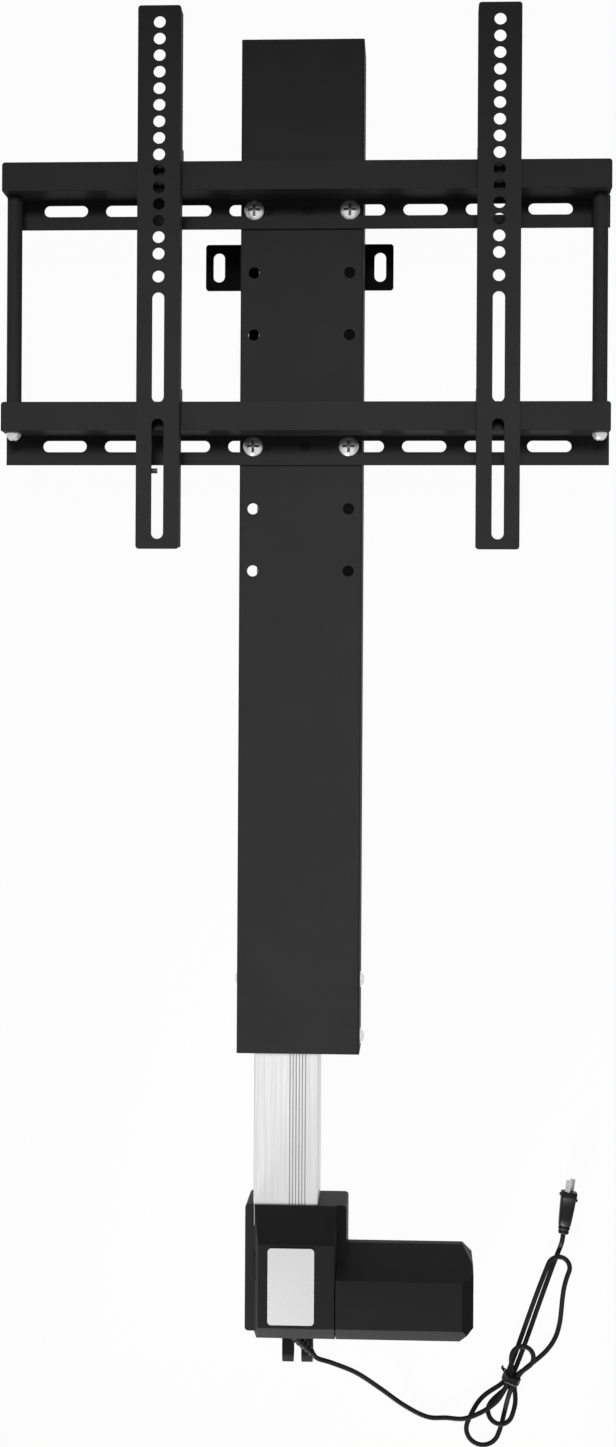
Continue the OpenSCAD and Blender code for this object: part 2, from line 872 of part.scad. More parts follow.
module glide_screw(side, y) {
  face = side * sleeve_w / 2;
  tip = side * (sleeve_inner_x - glide_screw_grip);
  difference() {
    union() {
      bar_x(glide_screw_d / 2, [min(face, tip), max(face, tip)], y, glide_z);
      translate([face, y, glide_z])
        rotate([0, side * 90, 0])
          dome(glide_head_d, glide_head_h);
    }
    translate([face + side * glide_head_h, y, glide_z])
      rotate([0, side * 90, 0])
        cross_recess(glide_head_d * 0.45, 1.2, 1.8);
  }
}

module glide_screws() {
  color(silver) {
    glide_screw(-1, glide_screw_y);
    for (y = right_screw_ys)
      glide_screw(1, y);
  }
}

// Rails, their screws and the side tubes
module rail(h) {
  x = [rail_x - rail_len / 2, rail_x + rail_len / 2];
  lip_x = [x[0] + lip_trim / 2, x[1] - lip_trim / 2];
  color(black)
    difference() {
      union() {
        along_x(x)
          rect([h - rail_below, h + rail_above], [sleeve_front, flange_front]);
        along_x(lip_x)
          rect([h + web_in, h + rail_above], [sleeve_front, lip_back + rail_t / 2]);
        along_z([lip_back, lip_front])
          round_rect(lip_x, [h + web_in, h + lip_top], lip_corner);
        along_z([lip_back, lip_front])
          rect(lip_x, [h + web_in, h + rail_above]);
      }
      along_z([sleeve_front - over, flange_front + over])
        for (side = [-1, 1])
          for (i = [0:slot_count - 1])
            slot_outline(rail_x + side * (slot_first + i * slot_pitch), h, slot_len, slot_w, false);
      bar_z(rail_hole_d / 2, rail_x, h, [sleeve_front - over, flange_front + over]);
      for (side = [-1, 1])
        bar_y(side_screw_d / 2 + fit, rail_x + side * side_x, [h + web_in - over, h + rail_above + over],
              tube_z);
    }
}

module upper_rail() {
  rail(rail_ys[0]);
}

module lower_rail() {
  rail(rail_ys[1]);
}

module rail_screws() {
  color(silver)
    for (h = rail_ys)
      for (side = [-1, 1])
        difference() {
          union() {
            bar_z(rail_screw_d / 2, side * hole_span / 2, h, [sleeve_inner_front - rail_nut_t, flange_front]);
            translate([side * hole_span / 2, h, flange_front])
              dome(rail_head_d, rail_head_h);
          }
          translate([side * hole_span / 2, h, flange_front + rail_head_h])
            cross_recess(rail_cross_w, rail_cross_t, rail_cross_depth);
        }
}

module rail_nuts() {
  z = [sleeve_inner_front - rail_nut_t, sleeve_inner_front];
  color(silver)
    for (h = rail_ys)
      for (side = [-1, 1])
        difference() {
          bar_z(rail_nut_d / 2, side * hole_span / 2, h, z);
          bar_z(rail_screw_d / 2 + fit, side * hole_span / 2, h, [z[0] - over, z[1] + over]);
        }
}

module side_tube(side) {
  y = [rail_ys[1] + rail_above, rail_ys[0] + web_in];
  color(black)
    difference() {
      bar_y(side_od / 2, rail_x + side * side_x, y, tube_z);
      bar_y(side_id / 2, rail_x + side * side_x, [y[0] - over, y[1] + over], tube_z);
    }
}

module left_side_tube() {
  side_tube(-1);
}

module right_side_tube() {
  side_tube(1);
}

module side_tube_screw(x, seat_y, up) {
  head = seat_y + up * side_head_h;
  tip = seat_y - up * (rail_t + side_screw_grip);
  difference() {
    union() {
      bar_y(side_screw_d / 2, x, [min(tip, seat_y), max(tip, seat_y)], tube_z);
      translate([x, seat_y, tube_z])
        rotate([-up * 90, 0, 0])
          dome(side_head_d, side_head_h);
    }
    translate([x, head, tube_z])
      rotate([-up * 90, 0, 0])
        cross_recess(side_head_d * 0.4, 1.2, 2);
  }
}

module side_tube_screws() {
  color(silver)
    for (side = [-1, 1]) {
      side_tube_screw(rail_x + side * side_x, rail_ys[0] + rail_above, 1);
      side_tube_screw(rail_x + side * side_x, rail_ys[1] + web_in, -1);
    }
}

// Arms that hook over the rails' lips
module arm_flange_outline() {
  difference() {
    rect([arm_bottom_y + arm_corner, arm_top_y - arm_corner], [arm_back, arm_front]);
    for (h = rail_ys)
      rect([h + web_in - hook_below, h + lip_top + slide_gap], [arm_back - over, lip_front + hook_gap]);
  }
  for (h = rail_ys) {
    rect([h + lip_top + slide_gap, h + lip_top + slide_gap + hook_h], [hook_back, arm_back + over]);
    rect([h + lip_top + slide_gap - hook_reach, h + lip_top + slide_gap + hook_h], [hook_back, hook_front]);
  }
}

module arm(x) {
  z = [arm_front - arm_t, arm_front];
  left = x - arm_w / 2;
  color(black)
    difference() {
      union() {
        along_z(z)
          round_rect([left, left + arm_w], [arm_bottom_y, arm_top_y], arm_corner);
        for (edge = [left, left + arm_w - arm_t])
          along_x([edge, edge + arm_t])
            arm_flange_outline();
      }
      for (i = [1:arm_holes])
        bar_z(arm_hole_d / 2, x, arm_top_y - i * arm_pitch, [z[0] - over, z[1] + over]);
      bar_z(arm_hole_d / 2, x, arm_top_y - arm_single, [z[0] - over, z[1] + over]);
      along_z([z[0] - over, z[1] + over]) {
        slot_outline(x, arm_top_y - arm_slot_a - arm_slot_a_len / 2, arm_slot_a_len, arm_hole_d, true);
        slot_outline(x, arm_top_y - arm_slot_b - arm_slot_b_len / 2, arm_slot_b_len, arm_hole_d, true);
      }
      bar_x(lock_d / 2 + fit, [left - over, left + arm_t + over], lock_y, lock_z);
    }
}

module lock_screw(x, length) {
  left = x - arm_w / 2;
  color(black)
    bar_x(lock_d / 2, [left, left + length], lock_y, lock_z);
}

module left_arm() {
  arm(left_arm_x);
}

module left_lock_screw() {
  lock_screw(left_arm_x, lock_len);
}

module right_arm() {
  arm(right_arm_x);
}

module right_lock_screw() {
  lock_screw(right_arm_x, right_lock_len);
}

// Wall bracket
module wall_bracket() {
  color(black)
    difference() {
      union() {
        along_z([0, bracket_t])
          round_rect([bracket_x - ear_span / 2, bracket_x + ear_span / 2], [-ear_h / 2, ear_h / 2],
                     bracket_corner);
        along_z([0, bracket_t])
          round_rect([bracket_x - tongue_w / 2, bracket_x + tongue_w / 2], [bracket_bottom_y, 0],
                     bracket_corner);
      }
      along_z([-over, bracket_t + over])
        for (side = [-1, 1])
          slot_outline(bracket_x + side * ear_slot_span / 2, 0, ear_slot_len, ear_slot_w, true);
      for (y = bracket_screw_ys) {
        bar_z(bracket_screw_d / 2 + fit, spacer_x, y, [-over, bracket_t + over]);
        bar_z(bracket_head_d / 2 + fit, spacer_x, y, [-over, bracket_head_t]);
      }
    }
}

module bracket_spacer() {
  color(silver)
    difference() {
      span([spacer_x - spacer_w / 2, spacer_x + spacer_w / 2], [spacer_bottom_y, spacer_top_y],
           [bracket_t, column_back]);
      for (y = bracket_screw_ys)
        bar_z(bracket_screw_d / 2 + fit, spacer_x, y, [bracket_t - over, column_back + over]);
    }
}

module bracket_screws() {
  color(silver)
    for (y = bracket_screw_ys)
      difference() {
        union() {
          bar_z(bracket_screw_d / 2, spacer_x, y, [bracket_head_t, bracket_screw_tip]);
          bar_z(bracket_head_d / 2, spacer_x, y, [0, bracket_head_t]);
        }
        translate([spacer_x, y, 0])
          rotate([180, 0, 0])
            cross_recess(bracket_head_d * 0.6, 1, 1);
      }
}

// Column
module inner_column() {
  z = [column_back, column_front];
  inner_z = [column_back + column_wall, column_front - column_wall];
  color(aluminium)
    difference() {
      along_y([column_bottom_y, column_top_y])
        difference() {
          round_rect([column_left, column_right], z, column_corner);
          rect([-chamber_w / 2, chamber_w / 2], inner_z);
          rect([switch_left, divider_left], inner_z);
          rect([divider_left - over, -chamber_w / 2 + over], [axis_z - slit_w / 2, axis_z + slit_w / 2]);
          for (i = [0:groove_count - 1])
            translate([groove_first + i * groove_pitch - groove_w / 2, column_front - groove_depth])
              square([groove_w, groove_depth + over]);
        }
      for (y = bracket_screw_ys)
        bar_z(bracket_screw_d / 2 + fit, spacer_x, y, [column_back - over, column_back + column_wall + over]);
    }
}

module column_top_guide() {
  gap = 0.1;
  color(nylon)
    difference() {
      union() {
        span([-chamber_w / 2 + gap, chamber_w / 2 - gap], [column_top_y - guide_plug, column_top_y],
             [column_back + column_wall + gap, column_front - column_wall - gap]);
        along_y([column_top_y, column_top_y + guide_flange])
          round_rect([column_left, column_right], [column_back, column_front], column_corner);
      }
      bar_y(tube_od / 2 + run_gap, 0, [column_top_y - guide_plug - over, column_top_y + guide_flange + over],
            axis_z);
    }
}

module limit_switches() {
  x = [switch_left, divider_left - finger_reach - 1.5];
  half = 8;
  color("#222222")
    for (travel = [-lift_down, lift_up])
      let (y = finger_y + finger_h / 2 + travel)
        span(x, [y - half, y + half], [axis_z - half + 1, axis_z + half - 1]);
}

// Gearbox
module housing_screw_holes(r, z) {
  for (x = house_screw_xs)
    for (y = house_screw_ys)
      bar_z(r, x, y, z);
}

module gearbox_back_shell() {
  x = [-case_left, case_right];
  y = [case_bottom_y, case_top_y];
  color(black)
    difference() {
      along_z([0, case_front])
        round_rect(x, y, case_corner);
      span([cavity_left, cavity_right], [case_floor_y, cavity_top_y], [case_wall, case_front + over]);
      span([column_left - notch_gap, column_right + notch_gap], [column_bottom_y, case_top_y + over],
           [column_back, case_front + over]);
      for (side = [-1, 1])
        let (mid = side * (prong_inner + prong_t / 2))
          span([mid - prong_t / 2, mid + prong_t / 2], [case_bottom_y - over, case_floor_y + over],
               [axis_z - prong_w / 2, axis_z + prong_w / 2]);
      bar_x(shaft_hole_d / 2, [cavity_right - over, case_right + over], worm_y, worm_z);
      housing_screw_holes(house_screw_d / 2 + fit, [-over, case_front + over]);
      housing_screw_holes(house_head_d / 2 + fit, [-over, house_head_t]);
    }
}

module cover_outline(inset) {
  top = cover_top_y - inset;
  bottom = case_bottom_y + inset;
  front = cover_front - inset;
  edge = case_front + cover_edge + inset * (1 - sqrt(2));
  polygon([
    [top, case_front - (inset > 0 ? over : 0)],
    [top, edge],
    [top - (front - edge), front],
    [bottom + cover_chamfer - 0.6 * inset, front],
    [bottom, front - cover_chamfer_z + 0.6 * inset],
    [bottom, case_front - (inset > 0 ? over : 0)]
  ]);
}

module gearbox_front_cover() {
  color(black)
    difference() {
      union() {
        intersection() {
          along_x([cover_left, cover_right])
            cover_outline(0);
          along_y([case_bottom_y - over, cover_top_y + over])
            polygon([
              [cover_left, case_front], [cover_right, case_front],
              [cover_right - cover_lean_right, cover_front], [cover_left + cover_lean_left, cover_front]
            ]);
        }
        bar_z(boss_r, boss_at.x, boss_at.y, [case_front, case_front + boss_h]);
      }
      along_x([cavity_left, cavity_right])
        cover_outline(case_wall);
      bar_x(shaft_hole_d / 2, [cavity_right - over, cover_right + over], worm_y, worm_z);
      housing_screw_holes(house_screw_d / 2 + fit, [case_front - over, house_screw_tip + 1]);
      bar_y(cord_r + 0.5, relief_start.x, [case_bottom_y - over, case_floor_y + over], relief_start.z);
    }
}

module rating_plate() {
  color("white")
    along_z([cover_front, cover_front + plate_t])
      round_rect([plate_x - plate_w / 2, plate_x + plate_w / 2],
                 [plate_y - plate_h / 2, plate_y + plate_h / 2], plate_corner);
}

module housing_screws() {
  color(silver) {
    housing_screw_holes(house_screw_d / 2, [house_head_t, house_screw_tip]);
    housing_screw_holes(house_head_d / 2, [house_head_sink, house_head_t]);
  }
}

module gear_plate() {
  gap = 0.1;
  color(silver)
    difference() {
      span([cavity_left + gap, cavity_right - gap], [gear_plate_bottom_y, gear_plate_top_y],
           [case_wall, gear_plate_front]);
      bar_y(screw_d / 2 + 1, 0, [gear_plate_bottom_y - over, gear_plate_top_y + over], axis_z);
      bar_y(bearing_od / 2 + fit, 0, [gear_plate_bottom_y - over, bearing_top_y], axis_z);
    }
}

module bearing(od, y) {
  color(silver)
    difference() {
      bar_y(od / 2, 0, y, axis_z);
      bar_y(shank_d / 2 + run_gap, 0, [y[0] - over, y[1] + over], axis_z);
    }
}

module upper_bearing() {
  bearing(bearing_od, [bearing_bottom_y, bearing_top_y]);
}

module lower_bearing() {
  bearing(lower_od, [clevis_top_y - lower_h, clevis_top_y]);
}

module prong_outline() {
  rect([pin_y, case_floor_y], [axis_z - prong_w / 2, axis_z + prong_w / 2]);
  translate([pin_y, axis_z])
    circle(d = prong_w);
}

module base_clevis() {
  color(black)
    difference() {
      union() {
        span([-clevis_half, clevis_half], [case_floor_y, clevis_top_y],
             [axis_z - clevis_half_z, axis_z + clevis_half_z]);
        along_x([-prong_outer, -prong_inner])
          prong_outline();
        along_x([prong_inner, prong_outer])
          prong_outline();
      }
      bar_y(lower_od / 2 + fit, 0, [clevis_top_y - lower_h, clevis_top_y + over], axis_z);
      bar_x(pin_d / 2, [-prong_outer - over, prong_outer + over], pin_y, axis_z);
    }
}

// Lead screw and worm drive
module lead_screw() {
  color(silver) {
    bar_y(screw_d / 2, 0, [column_bottom_y, screw_guide_y], axis_z);
    bar_y(shank_d / 2, 0, [shank_bottom_y, screw_top_y], axis_z);
  }
}

module screw_end_guide() {
  color(nylon)
    difference() {
      bar_y(tube_id / 2 - slide_gap, 0, [screw_guide_y, screw_top_y], axis_z);
      bar_y(shank_d / 2 + fit, 0, [screw_guide_y - over, screw_top_y + over], axis_z);
    }
}

module worm_wheel() {
  color(brass)
    difference() {
      union() {
        bar_y(wheel_r, 0, [wheel_bottom_y, wheel_top_y], axis_z);
        bar_y(hub_d / 2, 0, [wheel_bottom_y, hub_top_y], axis_z);
      }
      bar_y(shank_d / 2 + fit, 0, [wheel_bottom_y - over, hub_top_y + over], axis_z);
    }
}

module motor_shaft() {
  color(silver)
    bar_x(shaft_d / 2, [shaft_left, shaft_right], worm_y, worm_z);
}

module worm() {
  color(silver)
    difference() {
      bar_x(worm_r, [-worm_half, worm_half], worm_y, worm_z);
      bar_x(shaft_d / 2 + fit, [-worm_half - over, worm_half + over], worm_y, worm_z);
    }
}

module worm_bush() {
  color(brass)
    difference() {
      span([cavity_left, cavity_left + bush_w], [worm_y - bush_half, worm_y + bush_half],
           [worm_z - bush_half, worm_z + bush_half]);
      bar_x(shaft_d / 2 + run_gap, [shaft_left - 1, cavity_left + bush_w + over], worm_y, worm_z);
    }
}

// Motor and its cover
module motor_outline_yz(inset) {
  top = motor_top_y - inset;
  bottom = case_bottom_y + inset;
  front = cover_front - inset;
  back = motor_off + inset;
  cut = motor_chamfer - 0.6 * inset;
  polygon([
    [motor_top_y - motor_slope - 0.75 * inset, front],
    [bottom + cover_chamfer - 0.6 * inset, front],
    [bottom, front - cover_chamfer_z + 0.6 * inset],
    [bottom, back + cut],
    [bottom + cut, back],
    [top - cut, back],
    [top, back + cut],
    [top, slope_z]
  ]);
}

module motor_outline_xz(left, inset) {
  right = motor_end - inset;
  front = cover_front - inset;
  cut = end_chamfer - 0.6 * inset;
  polygon([[left, 0], [right, 0], [right, front - cut], [right - cut, front], [left, front]]);
}

module motor_outline_xy(left, inset) {
  right = motor_end - inset;
  top = motor_top_y - inset;
  bottom = case_bottom_y + inset;
  cut = bottom_cut - 0.6 * inset;
  polygon([
    [left, bottom],
    [right - cut, bottom],
    [right, bottom + cut],
    [right, top - top_cut.y + 0.6 * inset],
    [right - top_cut.x + 0.6 * inset, top],
    [left, top]
  ]);
}

module motor_form(left, inset) {
  intersection() {
    along_x([left, motor_end])
      motor_outline_yz(inset);
    along_y([case_bottom_y - over, motor_top_y + over])
      motor_outline_xz(left, inset);
    along_z([0, cover_front + over])
      motor_outline_xy(left, inset);
  }
}

module motor_cover() {
  color(black)
    difference() {
      motor_form(cover_right, 0);
      motor_form(cover_right - over, case_wall);
      span([cover_right - over, case_right], [case_bottom_y - over, motor_top_y + over], [0, case_front]);
    }
}

module motor_can() {
  color(silver)
    difference() {
      union() {
        bar_x(can_d / 2, [can_left, can_right], worm_y, worm_z);
        bar_x(can_boss_d / 2, [case_right, can_left], worm_y, worm_z);
      }
      bar_x(shaft_d / 2 + run_gap, [case_right - over, shaft_right + 1], worm_y, worm_z);
    }
}

module motor_end_cap() {
  color("#202020")
    bar_x(can_d / 2 - 3, [can_right, can_right + can_cap], worm_y, worm_z);
}

module control_board() {
  color("#2f6b3a") {
    span(board_x, board_y, [board_z, board_z + board_t]);
    for (x = [board_x[0], board_x[1] - board_foot])
      for (y = [board_y[0], board_y[1] - board_foot])
        span([x, x + board_foot], [y, y + board_foot], [board_z - board_up, board_z]);
    for (p = board_parts)
      translate([board_x[0] + p[0], board_y[0] + p[1], board_z + board_t])
        cube([p[2], p[3], board_part_h]);
  }
}

// Cord
module strain_relief() {
  color(black)
    difference() {
      union() {
        bar_y(relief_disc_r, relief_start.x, [relief_start.y - 1, case_bottom_y], relief_start.z);
        translate(relief_start)
          rotate([0, acos(relief_dir.z), atan2(relief_dir.y, relief_dir.x)])
            cylinder(r1 = relief_root_r, r2 = relief_tip_r, h = relief_len);
      }
      span([-20, 20], [case_bottom_y, case_bottom_y + 20], [relief_start.z - 20, relief_start.z + 20]);
    }
}

module cord_lead() {
  into_hank = lay(0, 1, 0) - lay(0, 0, 0);
  color(black)
    swept_tube(curve(lead_points, 3), cord_r, 10, relief_dir, into_hank);
}

module on_hank() {
  translate([tie_at.x, tie_at.y, 0])
    rotate(-tie_turn)
      children();
}

module cord_hank() {
  color(black)
    on_hank()
      along_z([hank_low, hank_high]) {
        rect([-waist_half, waist_half], [-waist_reach, waist_reach]);
        for (lobe = [upper_lobe, lower_lobe])
          slot_outline(lobe[0], lobe[1], lobe[2], lobe[3], true);
        rect(way_out[0], way_out[1]);
      }
}

module cord_tie() {
  half = waist_half + tie_gap;
  z = [tie_t, hank_high + tie_gap];
  color("#1a1a1a")
    on_hank()
      along_y([-tie_w / 2, tie_w / 2])
        difference() {
          rect([-half - tie_t, half + tie_t], [0, z[1] + tie_t]);
          rect([-half, half], z);
        }
}

module cord_tail() {
  out_of_hank = lay(1, 0, 0) - lay(0, 0, 0);
  color(black)
    swept_tube(curve(tail_points, 3), cord_r, 10, out_of_hank, plug_dir);
}

module on_plug() {
  translate(plug_base)
    rotate(-plug_lean)
      children();
}

module plug_body() {
  color(black)
    on_plug()
      rotate([-90, 0, 0])
        rotate_extrude()
          polygon([
            [0, 0], [cord_r + 1.4, 0], [cord_r + 2.4, plug_len * 0.35],
            [plug_d / 2 - 1.5, plug_len * 0.7], [plug_d / 2, plug_len * 0.76],
            [plug_d / 2, plug_len - 1], [plug_d / 2 - 1, plug_len], [0, plug_len]
          ]);
}

module plug_blades() {
  blade_t = 1.5;
  blade_w = 4;
  color(silver)
    on_plug()
      rotate([0, plug_roll, 0])
        for (side = [-1, 1])
          let (x = side * blade_span / 2)
            span([x - blade_t / 2, x + blade_t / 2], [plug_len, plug_len + blade_len],
                 [-blade_w / 2, blade_w / 2]);
}

outer_sleeve();
top_cap();
cap_screws();
push_head();
push_tube();
drive_nut();
sleeve_stiffener();
left_glide();
right_glide();
front_glide();
glide_screws();
upper_rail();
lower_rail();
rail_screws();
rail_nuts();
left_side_tube();
right_side_tube();
side_tube_screws();
left_arm();
left_lock_screw();
right_arm();
right_lock_screw();
wall_bracket();
bracket_spacer();
bracket_screws();
inner_column();
column_top_guide();
limit_switches();
gearbox_back_shell();
gearbox_front_cover();
rating_plate();
housing_screws();
gear_plate();
upper_bearing();
lower_bearing();
base_clevis();
lead_screw();
screw_end_guide();
worm_wheel();
motor_cover();
motor_can();
motor_end_cap();
control_board();
motor_shaft();
worm();
worm_bush();
strain_relief();
cord_lead();
cord_hank();
cord_tie();
cord_tail();
plug_body();
plug_blades();
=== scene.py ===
import json
import math

import bmesh
import bpy
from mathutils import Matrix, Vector


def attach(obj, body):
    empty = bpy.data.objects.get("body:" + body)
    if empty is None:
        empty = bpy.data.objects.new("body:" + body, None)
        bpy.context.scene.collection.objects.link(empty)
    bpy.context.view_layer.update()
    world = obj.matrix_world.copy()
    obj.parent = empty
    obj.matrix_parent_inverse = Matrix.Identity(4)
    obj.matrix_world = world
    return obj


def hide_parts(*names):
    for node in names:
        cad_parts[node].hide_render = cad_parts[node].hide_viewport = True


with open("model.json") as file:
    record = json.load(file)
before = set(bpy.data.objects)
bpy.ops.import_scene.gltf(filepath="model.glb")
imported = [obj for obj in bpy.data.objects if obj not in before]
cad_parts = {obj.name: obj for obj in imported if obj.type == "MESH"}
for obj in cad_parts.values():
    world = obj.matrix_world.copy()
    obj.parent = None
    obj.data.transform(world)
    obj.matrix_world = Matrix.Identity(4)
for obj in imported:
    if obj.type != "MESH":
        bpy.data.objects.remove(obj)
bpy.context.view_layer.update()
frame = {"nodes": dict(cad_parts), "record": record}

MM = 0.001

# Camera: near the photograph's place, almost straight above the lift, with no shift
CAMERA_AT = (0.0937, -0.3761, 1.8415)
CAMERA_TURN = (-0.071, 2.79, 0.32)
SENSOR_MM = 36.0
LENS_MM = 55.12
camera_data = bpy.data.cameras.new("camera")
camera_data.sensor_fit = "AUTO"
camera_data.sensor_width = SENSOR_MM
camera_data.lens = LENS_MM
camera = bpy.data.objects.new("camera", camera_data)
camera.location = CAMERA_AT
camera.rotation_euler = [math.radians(a) for a in CAMERA_TURN]
bpy.context.scene.collection.objects.link(camera)
bpy.context.scene.camera = camera
bpy.context.scene.view_settings.view_transform = "Standard"

# Cord: its route in millimetres, with the solids' points outside the hank and its own loops inside it.
# A point in the hank is given along its run from the tie, across it, and by its layer above the floor.
CASE_BOTTOM_Y = -870.0
RELIEF_OUT = 2.0
RELIEF_Z = 64.0
RELIEF_START = Vector((0.0, CASE_BOTTOM_Y - RELIEF_OUT, RELIEF_Z))
RELIEF_DIR = Vector((0.62, -0.7, -0.35)).normalized()
RELIEF_LEN = 22.0
RELIEF_TIP = RELIEF_START + RELIEF_LEN * RELIEF_DIR
LEAD_START = 6.0
CORD_D = 4.0
TIE_AT = (175.5, -920.0)
TIE_TURN = math.radians(22.0)
TIE_W = 6.0
STRAND_PITCH = 4.5
LAYER_STEP = 4.5
HANK_Z = 2.8
PLUG_Z = 7.1
PLUG_LAYER = (PLUG_Z - HANK_Z) / LAYER_STEP
PLUG_LEAN = math.radians(8.0)
PLUG_DIR = Vector((math.sin(PLUG_LEAN), math.cos(PLUG_LEAN), 0.0))
STRANDS = [-STRAND_PITCH, 0.0, STRAND_PITCH, -STRAND_PITCH / 2, STRAND_PITCH / 2]
LEAD_STRAND = 3
TAIL_STRAND = 1
LEAD_BENDS = [(29, -897.5, 46), (48, -910, 29), (67, -926.5, 14.5), (87, -943, 5.6), (106, -953, HANK_Z)]
LEAD_ENTRY = [(-51, -37, 0.1), (-45, -24, 0.9), (-34, -12.5, 1), (-22, -5, 1), (-11, -2.5, 1)]
TAIL_EXIT = [(5, 0), (20, -0.2), (40, -1), (60, -2.1), (80, -3.1), (96, -3.8), (104, -4.05)]
TAIL_RISE = [(112, -4.25, 0.08), (116.5, -4.5, 0.4), (121.5, -5.1, 0.86)]
TAIL_END = [(125.2, -5.9), (128.5, -6.8)]

# Loops in order: strand out, strand back, side of the tie, hand, reach, radius and middle of the fold,
# how far the two strands swell sideways, and the layers along the way
SMALL_RING = (3, 4, 1, 1, 30, 9, 1.2, (0, 0), [(0, 1)])
WIDE_LOOP = (4, 0, -1, -1, 61, 13.5, -6, (0, -5), [(0.02, 1), (0.2, 0)])
LONG_LOOP = (0, 2, 1, 1, 110, 9, 0.5, (0, 14), [(0.1, 0), (0.3, 1), (0.7, 1), (0.85, 0)])
SHORT_LOOP = (2, 1, -1, -1, 38, 10, 1.5, (2, 0), [(0.05, 0), (0.3, 1), (0.42, 1), (0.7, 0)])
RUN_SHARE = 0.3
SWELL_SKEW = 0.8
CURVE_STEPS = 8
LOOP_STEPS = 80


def lay(u, v, layer):
    s, c = math.sin(TIE_TURN), math.cos(TIE_TURN)
    return Vector((TIE_AT[0] + u * s + v * c, TIE_AT[1] + u * c - v * s, HANK_Z + layer * LAYER_STEP))


def ramp(t):
    c = min(1.0, max(0.0, t))
    return c * c * (3 - 2 * c)


def eased(s, marks):
    value = marks[0][1]
    for (start, low), (end, high) in zip(marks, marks[1:]):
        if s > start:
            value = low + (high - low) * ramp((s - start) / (end - start))
    return value


def strand_v(d, straight, at_tie, at_fold, swell):
    t = min(1.0, max(0.0, (d - TIE_W / 2) / (straight - TIE_W / 2)))
    return at_tie + (at_fold - at_tie) * ramp(t) + swell * (1 - math.cos(2 * math.pi * t ** SWELL_SKEW)) / 2


def loop_point(s, loop):
    out, home, side, hand, reach, r, mid, swell, layers = loop
    straight = reach - r
    layer = eased(s, layers)
    if s < RUN_SHARE:
        d = straight * s / RUN_SHARE
        return lay(side * d, strand_v(d, straight, STRANDS[out], mid - hand * r, swell[0]), layer)
    if s > 1 - RUN_SHARE:
        d = straight * (1 - s) / RUN_SHARE
        return lay(side * d, strand_v(d, straight, STRANDS[home], mid + hand * r, swell[1]), layer)
    a = math.pi * (s - RUN_SHARE) / (1 - 2 * RUN_SHARE)
    return lay(side * (straight + r * math.sin(a)), mid - hand * r * math.cos(a), layer)


def smooth_through(points, steps):
    out = []
    last = len(points) - 1
    for i in range(last):
        a, b, c, d = points[max(0, i - 1)], points[i], points[i + 1], points[min(last, i + 2)]
        for j in range(steps):
            t = j / steps
            out.append(0.5 * (2 * b + (c - a) * t + (2 * a - 5 * b + 4 * c - d) * t * t
                              + (3 * b - a - 3 * c + d) * t ** 3))
    return out


lead = [RELIEF_TIP, RELIEF_TIP + LEAD_START * RELIEF_DIR]
lead += [Vector(p) for p in LEAD_BENDS]
lead += [lay(u, v, layer) for u, v, layer in LEAD_ENTRY]
lead.append(lay(0, STRANDS[LEAD_STRAND], 1))
tail = [lay(0, STRANDS[TAIL_STRAND], 0)]
tail += [lay(u, v, 0) for u, v in TAIL_EXIT]
tail += [lay(u, v, layer) for u, v, layer in TAIL_RISE]
tail += [lay(u, v, PLUG_LAYER) for u, v in TAIL_END]
PLUG_BASE = tail[-1]

route = smooth_through(lead, CURVE_STEPS)
for loop in (SMALL_RING, WIDE_LOOP, LONG_LOOP, SHORT_LOOP):
    route += [loop_point(i / LOOP_STEPS, loop) for i in range(LOOP_STEPS)]
route += smooth_through(tail, CURVE_STEPS)
route.append(PLUG_BASE)


# Mesh helpers
def mesh_object(name, bm, body, smooth=True):
    bmesh.ops.recalc_face_normals(bm, faces=bm.faces)
    mesh = bpy.data.meshes.new(name)
    bm.to_mesh(mesh)
    bm.free()
    for polygon in mesh.polygons:
        polygon.use_smooth = smooth
    obj = bpy.data.objects.new(name, mesh)
    bpy.context.scene.collection.objects.link(obj)
    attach(obj, body)
    return obj


def bridge(bm, rings):
    loops = [[bm.verts.new(p) for p in ring] for ring in rings]
    count = len(loops[0])
    for low, high in zip(loops, loops[1:]):
        for k in range(count):
            bm.faces.new((low[k], low[(k + 1) % count], high[(k + 1) % count], high[k]))
    bm.faces.new(list(reversed(loops[0])))
    bm.faces.new(loops[-1])


def side_and_up(direction):
    side = direction.cross(Vector((0, 0, 1))).normalized()
    return side, side.cross(direction).normalized()


def ring_round(centre, direction, radius, count):
    side, up = side_and_up(direction)
    return [centre + radius * (math.cos(a) * side + math.sin(a) * up)
            for a in (2 * math.pi * k / count for k in range(count))]


def revolve(bm, start, direction, profile, count):
    """A turned form in millimetres, from its heights and radii along a direction."""
    bridge(bm, [ring_round(start * MM + direction * (h * MM), direction, r * MM, count) for h, r in profile])


def headings(points, first, last):
    inner = [(c - a).normalized() for a, c in zip(points, points[2:])]
    return [first] + inner + [last]


# Cord: two cores side by side under one skin, so that a shallow groove runs along its top
CORD_SIDES = 20
CORD_FLAT = 0.86
GROOVE = 0.2
GROOVE_HALF = 0.55


def cord_section(centre, direction):
    side, up = side_and_up(direction)
    ring = []
    for k in range(CORD_SIDES):
        a = 2 * math.pi * (k + 0.5) / CORD_SIDES
        x = CORD_D / 2 * math.cos(a)
        dip = 1 - GROOVE * math.exp(-(x / GROOVE_HALF) ** 2)
        ring.append(centre + x * side + CORD_FLAT * dip * CORD_D / 2 * math.sin(a) * up)
    return ring


bm = bmesh.new()
dirs = headings(route, RELIEF_DIR, PLUG_DIR)
bridge(bm, [[p * MM for p in cord_section(c, d)] for c, d in zip(route, dirs)])
cord = mesh_object("mains_cord", bm, "base")
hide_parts("cord_lead", "cord_hank", "cord_tail")

